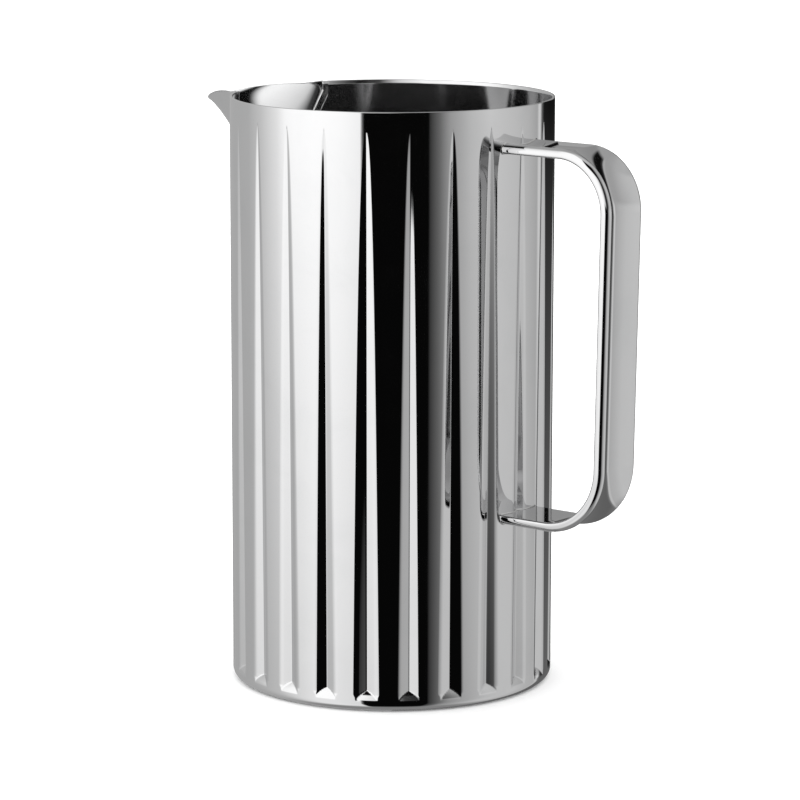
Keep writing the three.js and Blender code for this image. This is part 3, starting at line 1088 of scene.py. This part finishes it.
# ------------------------------------------------------------------ handle
@dataclass(frozen=True)
class Handle:
    """The flat strap bent into a handle, with a hollow along its outer face, and its two welds."""

    measures: Measures
    body: BodyShell
    thickness: float = 3.4
    edge_radius: float = 2.2
    inner_edge_radius: float = 0.8
    dish: float = 1.15
    lean: float = 1.7
    drawn_in: float = 0.8
    upper_bend: float = 21.0
    lower_bend: float = 24.0
    arm_start: float = 2.2
    sunk: float = 0.35
    weld_leg: float = 0.75
    weld_overlap: float = 0.06
    weld_root: float = 0.3

    @property
    def upper_arm(self) -> float:
        """Height of the middle of the upper arm."""
        return self.measures.upper_arm_top - self.thickness / 2.0

    @property
    def lower_arm(self) -> float:
        """Height of the middle of the lower arm."""
        return self.measures.lower_arm_foot + self.thickness / 2.0

    def path(self) -> RoundedPath:
        """The strap's middle line: out along the upper arm, down the grip and back along the lower arm."""
        m, half = self.measures, self.thickness / 2.0
        upper, lower = self.upper_bend - half, self.lower_bend - half
        grip_top = m.grip_outside - self.drawn_in - half
        grip_foot = grip_top - self.lean
        slope = self.lean / (self.upper_arm - self.lower_arm - upper - lower)
        start = m.body_radius + self.arm_start
        corners = [
            (start, self.upper_arm),
            (grip_top + slope * upper, self.upper_arm),
            (grip_foot - slope * lower, self.lower_arm),
            (start, self.lower_arm),
        ]
        return RoundedPath(corners, [0.0, upper, lower, 0.0], closed=False)

    def outline(self, turn: np.ndarray, grow: np.ndarray) -> tuple[np.ndarray, np.ndarray]:
        """The strap's section: flat bar, round edges, and a shallow arc hollowed in its outer face.

        Args:
            turn: Distances round the section.
            grow: How much bigger than the strap the section is drawn.

        Returns:
            The place across the strap, and the place through its thickness, outwards.
        """
        across, through = self.bar().at(turn)
        half = self.measures.strap_half_width
        share = np.clip(across / (half - self.edge_radius), -1.0, 1.0)
        hollow = self.dish * (1.0 - share**2) * smooth_step(through, 0.0, self.thickness / 2.0)
        step = 1e-3
        next_across, next_through = self.bar().at(turn + step)
        last_across, last_through = self.bar().at(turn - step)
        side = unit(stack(next_through - last_through, last_across - next_across))
        return across + side[..., 0] * grow, through - hollow + side[..., 1] * grow

    def bar(self) -> RoundedPath:
        """The plain bar: a rectangle with rounded corners, read from the middle of its inner face."""
        half, thick, edge = self.measures.strap_half_width, self.thickness / 2.0, self.edge_radius
        corners = [(-half, -thick), (half, -thick), (half, thick), (-half, thick)]
        return RoundedPath(corners, [self.inner_edge_radius] * 2 + [edge] * 2, closed=True)

    def bar_rows(self) -> np.ndarray:
        """Distances round the section that carry a point."""
        ease = 0.5 - 0.5 * np.cos(np.linspace(0.0, math.pi, 25))[:-1]
        return self.bar().stations([even(7), even(10), even(7), even(2), even(7), ease, even(7), even(2)])

    def surface(self, distance: np.ndarray, turn: np.ndarray) -> np.ndarray:
        """The strap: its section carried along its path, square to it.

        Args:
            distance: Along the path.
            turn: Round the section.

        Returns:
            Points in millimetres.
        """
        line = self.path()
        x, z = line.at(distance)
        step = 0.02
        after_x, after_z = line.at(np.minimum(distance + step, line.length))
        before_x, before_z = line.at(np.maximum(distance - step, 0.0))
        ahead = unit(stack(after_x - before_x, after_z - before_z))
        across, through = self.outline(turn, np.zeros_like(turn))
        return stack(x - ahead[..., 1] * through, across, z + ahead[..., 0] * through)

    def build(self, material: bpy.types.Material) -> bpy.types.Object:
        """Builds and dresses the strap.

        Args:
            material: The strap's finish.

        Returns:
            The finished piece.
        """
        line = self.path()
        shares = [np.zeros(0), even(6), even(40), even(24), even(40), even(6)]
        rows = np.concatenate([line.stations(shares), [line.length]])
        distance, turn = np.meshgrid(rows, self.bar_rows(), indexing="ij")
        points = self.surface(distance, turn)
        inner = np.clip(distance, 0.05, line.length - 0.05)
        normals = grid_normals(self.surface, inner, turn, (0.02, 0.002))
        ends = []
        for loop in (points[0], points[-1]):
            sunk = loop.copy()
            sunk[:, 0] = self.body.wall_x(loop[:, 1], loop[:, 2]) - self.sunk
            ends.append(sunk[None])
        points = np.concatenate([ends[0], points, ends[1]])
        normals = np.concatenate([normals[:1], normals, normals[-1:]])
        piece = Skin("handle_grip", points, normals, Caps.FANNED).build()
        return dress(piece, material, Slot.STRAP, "handle_strap")

    def build_weld(self, name: str, node: str, height: float, facing: float,
                   material: bpy.types.Material) -> bpy.types.Object:
        """Builds and dresses the hollow weld round one end of the strap.

        Its section is a quarter circle that curves in, from the wall to the strap, closed by
        two straight sides that lie inside the metal.

        Args:
            name: The piece's name.
            node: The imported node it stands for.
            height: The height of the arm's middle.
            facing: 1 where the strap's outer face looks up, -1 where it looks down.
            material: The weld's finish.

        Returns:
            The finished piece.
        """
        a = np.linspace(0.0, math.pi / 2.0, 9)
        leg = self.weld_leg
        out = np.concatenate([leg * (1.0 - np.sin(a)) - self.weld_overlap, [-self.weld_root]])
        lift = np.concatenate([leg * (1.0 - np.cos(a)) - self.weld_overlap, [-self.weld_root]])
        turn, out_grid = np.meshgrid(self.bar_rows(), out, indexing="ij")
        lift_grid = np.broadcast_to(lift, out_grid.shape)
        across, through = self.outline(turn, out_grid)
        z = height + facing * through
        x = self.body.wall_x(across, z) + lift_grid
        piece = Skin(name, stack(x, across, z), None, Caps.JOINED).build()
        return dress(piece, material, Slot.WELD, node)


# ------------------------------------------------------------------ base
@dataclass(frozen=True)
class Base:
    """The disc that closes the underside, and the weld between it and the flange."""

    measures: Measures
    wall: float = 1.0
    weld_width: float = 1.25
    overlap: float = 0.15
    segments: int = 192
    ripple: float = 0.03
    ripples: int = 96
    crown: float = 0.12
    soft_edge: float = 0.25
    disc_rows: int = 24
    eye: float = 0.6
    flat_edge: float = 2.0
    crown_sunk: float = 0.06
    foot_lift: float = 0.04

    def turned(self, name: str, radius: np.ndarray, z: np.ndarray, caps: Caps) -> bpy.types.Object:
        """A section turned about the axis.

        Args:
            name: The piece's name.
            radius: The section's radii.
            z: The section's heights.
            caps: How the ends of the section are finished.

        Returns:
            The new object.
        """
        angle = 2.0 * math.pi * even(self.segments)
        r_grid, angle_grid = np.meshgrid(radius, angle, indexing="ij")
        z_grid = np.broadcast_to(z[:, None], r_grid.shape)
        points = stack(r_grid * np.cos(angle_grid), r_grid * np.sin(angle_grid), z_grid)
        return Skin(name, points, None, caps).build()

    def build_disc(self, material: bpy.types.Material) -> bpy.types.Object:
        """Builds and dresses the disc, which has softened edges.

        Args:
            material: The turned finish.

        Returns:
            The finished piece.
        """
        edge = self.measures.flange_radius - self.weld_width
        turn = np.linspace(-0.5, 0.5, 9) * math.pi
        soft = self.soft_edge
        corner_z = np.where(turn < 0, soft + soft * np.sin(turn), self.wall - soft + soft * np.sin(turn))
        under = np.linspace(self.eye, edge - self.flat_edge, self.disc_rows)
        radius = np.concatenate([under, edge - soft + soft * np.cos(turn), under[::-1]])
        z = np.concatenate([np.zeros_like(under), corner_z, np.full_like(under, self.wall)])
        piece = self.turned("base_plate", radius, z, Caps.FANNED)
        return dress(piece, material, Slot.BASE, "base_disc")

    def build_weld(self, material: bpy.types.Material) -> bpy.types.Object:
        """Builds and dresses the weld ring: a rippled bead inside, and a flush one underneath.

        Args:
            material: The weld's finish.

        Returns:
            The finished piece.
        """
        outer = self.measures.flange_radius + self.overlap
        inner = self.measures.flange_radius - self.weld_width - self.overlap
        middle, half = (outer + inner) / 2.0, (outer - inner) / 2.0
        across = np.linspace(-1.0, 1.0, 9)
        angle = 2.0 * math.pi * even(self.ripples * 6)
        wave = self.ripple * np.cos(self.ripples * angle)
        bead = (1.0 - across**2)[:, None]
        top = self.wall - self.crown_sunk + bead * (self.crown + self.crown_sunk + wave[None, :])
        foot = np.broadcast_to(self.foot_lift * (1.0 - bead), top.shape)
        radius = middle + half * np.concatenate([across, across[::-1]])
        z = np.concatenate([foot, top[::-1]])
        points = stack(radius[:, None] * np.cos(angle), radius[:, None] * np.sin(angle), z)
        piece = Skin("base_weld", points, None, Caps.JOINED).build()
        return dress(piece, material, Slot.WELD, "base_weld_ring")


# ------------------------------------------------------------------ studio
def light_level(shown: float) -> float:
    """How much light shows as a level from 0 to 255 on a screen, by the standard screen curve."""
    share = shown / 255.0
    return share / 12.92 if share <= 0.04045 else ((share + 0.055) / 1.055) ** 2.4


@dataclass(frozen=True)
class Studio:
    """The room round the pitcher: pale panels, a black card and a thin strip, with a pale floor.

    Each panel stop is a bearing in degrees from the camera's side, positive to its right, with
    the level that polished steel shows of it overhead, above eye level, near the rim and near
    the foot.
    """

    bearing: float
    elevation: float
    distance: float
    aim_height: float
    focal: float
    shift: float
    roll: float
    reflectance: float = 0.65
    high_elevation: float = -6.0
    low_elevation: float = -15.0
    card_slant: float = 30.0
    card_turns: tuple[float, float] = (60.0, 110.0)
    raised_band: tuple[float, float] = (-0.02, 0.12)
    overhead_band: tuple[float, float] = (0.62, 0.72)
    ceiling_band: tuple[float, float] = (0.93, 0.99)
    ceiling_level: float = 225.0
    floor_band: tuple[float, float] = (-0.72, -0.94)
    floor_level: float = 150.0
    floor_size: float = 40.0
    floor_drop: float = 0.0002
    backdrop: float = 1.7
    panels: tuple[tuple[float, float, float, float, float], ...] = (
        (-180.0, 150.0, 150.0, 146.0, 142.0),
        (-146.0, 150.0, 165.0, 158.0, 154.0),
        (-122.0, 160.0, 175.0, 166.0, 160.0),
        (-106.0, 190.0, 195.0, 188.0, 168.0),
        (-89.0, 245.0, 228.0, 221.0, 182.0),
        (-81.0, 250.0, 245.0, 245.0, 196.0),
        (-73.0, 250.0, 250.0, 250.0, 206.0),
        (-57.0, 250.0, 252.0, 253.0, 222.0),
        (-41.0, 245.0, 250.0, 250.0, 222.0),
        (-35.0, 8.0, 246.0, 248.0, 218.0),
        (-21.6, 6.0, 244.0, 238.0, 212.0),
        (-21.0, 6.0, 240.0, 6.0, 6.0),
        (-4.0, 6.0, 200.0, 6.0, 6.0),
        (2.0, 6.0, 150.0, 6.0, 6.0),
        (9.0, 6.0, 60.0, 6.0, 6.0),
        (25.4, 10.0, 8.0, 6.0, 6.0),
        (26.2, 60.0, 30.0, 48.0, 46.0),
        (33.0, 90.0, 60.0, 97.0, 92.0),
        (41.0, 120.0, 100.0, 148.0, 138.0),
        (49.0, 140.0, 140.0, 165.0, 152.0),
        (57.0, 155.0, 165.0, 181.0, 162.0),
        (73.0, 165.0, 185.0, 194.0, 180.0),
        (81.0, 170.0, 180.0, 190.0, 184.0),
        (98.0, 165.0, 165.0, 182.0, 184.0),
        (112.0, 155.0, 152.0, 172.0, 172.0),
        (124.5, 150.0, 150.0, 156.0, 166.0),
        (126.0, 150.0, 160.0, 196.0, 180.0),
        (129.0, 150.0, 160.0, 196.0, 180.0),
        (131.0, 150.0, 60.0, 90.0, 110.0),
        (135.0, 150.0, 12.0, 20.0, 90.0),
        (147.0, 150.0, 12.0, 16.0, 90.0),
        (152.0, 150.0, 130.0, 16.0, 90.0),
    )

    def build_world(self) -> None:
        """Builds the light of the room, worked out from the direction it comes from."""
        world = bpy.data.worlds.new("studio_room")
        bpy.context.scene.world = world
        world.use_nodes = True
        tree = Tree(world.node_tree)
        a = math.radians(self.bearing)
        right = (math.cos(a), math.sin(a), 0.0)
        front = (math.sin(a), -math.cos(a), 0.0)
        way = tree.add("ShaderNodeTexCoord", output="Generated")
        to_right = tree.add("ShaderNodeVectorMath", {"operation": "DOT_PRODUCT"}, {0: way, 1: right}, "Value")
        to_front = tree.add("ShaderNodeVectorMath", {"operation": "DOT_PRODUCT"}, {0: way, 1: front}, "Value")
        height = tree.add("ShaderNodeSeparateXYZ", {}, {0: way}, "Z")
        turn = to_right.bearing(to_front) / (2.0 * math.pi) + 0.5
        behind = tree.passing(turn, (self.share(self.card_turns[0]), self.share(self.card_turns[1])))
        raised = tree.add("ShaderNodeMath", {"operation": "MAXIMUM"}, {0: height, 1: 0.0})
        turn = turn - behind * raised * (self.card_slant / 360.0)
        overhead, raised_ring, upper, lower = (self.ring(tree, turn, column) for column in (1, 2, 3, 4))
        sinking = tuple(math.sin(math.radians(v)) for v in (self.high_elevation, self.low_elevation))
        level = tree.blend(tree.passing(height, sinking, smooth=False), upper, lower)
        level = tree.blend(tree.passing(height, self.raised_band), level, raised_ring)
        level = tree.blend(tree.passing(height, self.overhead_band), level, overhead)
        ceiling, floor = (grey(light_level(shown)) for shown in (self.ceiling_level, self.floor_level))
        level = tree.blend(tree.passing(height, self.ceiling_band), level, ceiling)
        mirrored = tree.blend(tree.passing(height, self.floor_band), level, floor)
        glossy = tree.add("ShaderNodeLightPath", output="Is Glossy Ray")
        seen = tree.blend(glossy, grey(self.backdrop), mirrored)
        background = tree.add("ShaderNodeBackground", {}, {"Color": seen, "Strength": 1.0})
        tree.add("ShaderNodeOutputWorld", {}, {"Surface": background})

    @staticmethod
    def share(bearing: float) -> float:
        """A bearing in degrees as a share of a whole turn, with straight ahead at a half."""
        return bearing / 360.0 + 0.5

    def ring(self, tree: Tree, turn: Wire, column: int) -> Wire:
        """The panels round the pitcher at one height of the reflection.

        Args:
            tree: The world's nodes.
            turn: The bearing, from 0 to 1 for a whole turn.
            column: Which of a stop's levels to use.

        Returns:
            The panels' brightness.
        """
        stops = [(self.share(stop[0]), light_level(stop[column]) / self.reflectance) for stop in self.panels]
        return tree.add("ShaderNodeValToRGB", {"stops": stops}, {0: turn})

    def build_floor(self) -> None:
        """Builds the pale floor, which the mirror finish doesn't show."""
        count = 9
        line = np.linspace(-0.5, 0.5, count) * self.floor_size
        x, y = np.meshgrid(line, line, indexing="ij")
        index = np.arange(count * count).reshape(count, count)
        quads = np.stack([index[:-1, :-1], index[1:, :-1], index[1:, 1:], index[:-1, 1:]], axis=-1)
        points = stack(x, y, np.full_like(x, -self.floor_drop)).reshape(-1, 3)
        mesh = bpy.data.meshes.new("studio_floor")
        mesh.from_pydata(points.tolist(), [], quads.reshape(-1, 4).tolist())
        floor = bpy.data.objects.new("studio_floor", mesh)
        bpy.context.scene.collection.objects.link(floor)
        material, tree = new_material("pale_floor")
        paint = tree.add("ShaderNodeBsdfPrincipled", {}, {"Base Color": grey(0.9), "Roughness": 0.9,
                                                          "Specular IOR Level": 0.0})
        tree.add("ShaderNodeOutputMaterial", {}, {"Surface": paint})
        mesh.materials.append(material)
        floor.visible_glossy = False

    def build_camera(self) -> None:
        """Places the camera on its bearing and turns it to the pitcher."""
        a, e = math.radians(self.bearing), math.radians(self.elevation)
        back = np.array([math.sin(a) * math.cos(e), -math.cos(a) * math.cos(e), math.sin(e)])
        right = np.array([math.cos(a), math.sin(a), 0.0])
        up = np.cross(back, right)
        turned_right = right * math.cos(self.roll) + up * math.sin(self.roll)
        turned_up = up * math.cos(self.roll) - right * math.sin(self.roll)
        place = back * self.distance + np.array([0.0, 0.0, self.aim_height])
        data = bpy.data.cameras.new("studio_camera")
        data.lens = self.focal
        data.sensor_width = 36.0
        data.shift_x = self.shift
        data.clip_start = 0.05
        data.clip_end = 100.0
        camera = bpy.data.objects.new("studio_camera", data)
        bpy.context.scene.collection.objects.link(camera)
        matrix = np.eye(4)
        matrix[:3, 0], matrix[:3, 1], matrix[:3, 2], matrix[:3, 3] = turned_right, turned_up, back, place * MM
        camera.matrix_world = Matrix(matrix.tolist())
        bpy.context.scene.camera = camera

    def build(self) -> None:
        """Builds the light, the floor and the camera, and sets how the picture is shown."""
        self.build_world()
        self.build_floor()
        self.build_camera()
        scene = bpy.context.scene
        scene.view_settings.view_transform = "Standard"
        scene.view_settings.look = "None"
        scene.cycles.max_bounces = 16
        scene.cycles.glossy_bounces = 16


def main() -> None:
    """Builds every piece round the frame, then the studio, and reports each on the way."""
    logging.basicConfig(level=logging.INFO, format="%(name)s: %(message)s")
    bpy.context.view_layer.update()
    measures = Measures.from_frame()
    notch = Notch(measures.body_radius, measures.body_height)
    flutes = Flutes(measures.body_radius, measures.body_height - PLAIN_BAND)
    body = BodyShell(measures, flutes, notch)
    spout = Spout(measures, notch)
    handle = Handle(measures, body)
    base = Base(measures)
    sheet = MirrorFinish("polished_steel_sheet").material()
    pressed = MirrorFinish("polished_steel_spout", roughness=0.05, smear=0.04).material()
    strap = MirrorFinish("polished_steel_strap", hairline_stretch=(0.05, 1.0, 0.05)).material()
    weld = WeldFinish("dressed_weld").material()
    pieces = [
        body.build(sheet),
        spout.build(pressed),
        spout.build_seam(weld),
        handle.build(strap),
        handle.build_weld("upper_handle_weld", "handle_weld_upper", handle.upper_arm, 1.0, weld),
        handle.build_weld("lower_handle_weld", "handle_weld_lower", handle.lower_arm, -1.0, weld),
        base.build_disc(TurnedFinish("turned_steel_base").material()),
        base.build_weld(weld),
    ]
    for piece in pieces:
        LOG.info("%s: %d faces", piece.name, len(piece.data.polygons))
    Studio(bearing=38.9, elevation=10.50, distance=1330.0, aim_height=98.36, focal=3775.0 * 36.0 / 800.0,
           shift=7.9 / 800.0, roll=0.001).build()
    bpy.context.view_layer.update()


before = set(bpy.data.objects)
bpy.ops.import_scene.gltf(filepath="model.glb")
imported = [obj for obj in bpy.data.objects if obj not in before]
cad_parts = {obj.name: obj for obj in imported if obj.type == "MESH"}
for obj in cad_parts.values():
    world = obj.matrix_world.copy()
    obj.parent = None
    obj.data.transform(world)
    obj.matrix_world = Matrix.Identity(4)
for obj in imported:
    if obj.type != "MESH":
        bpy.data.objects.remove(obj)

if __name__ == "__main__":
    main()
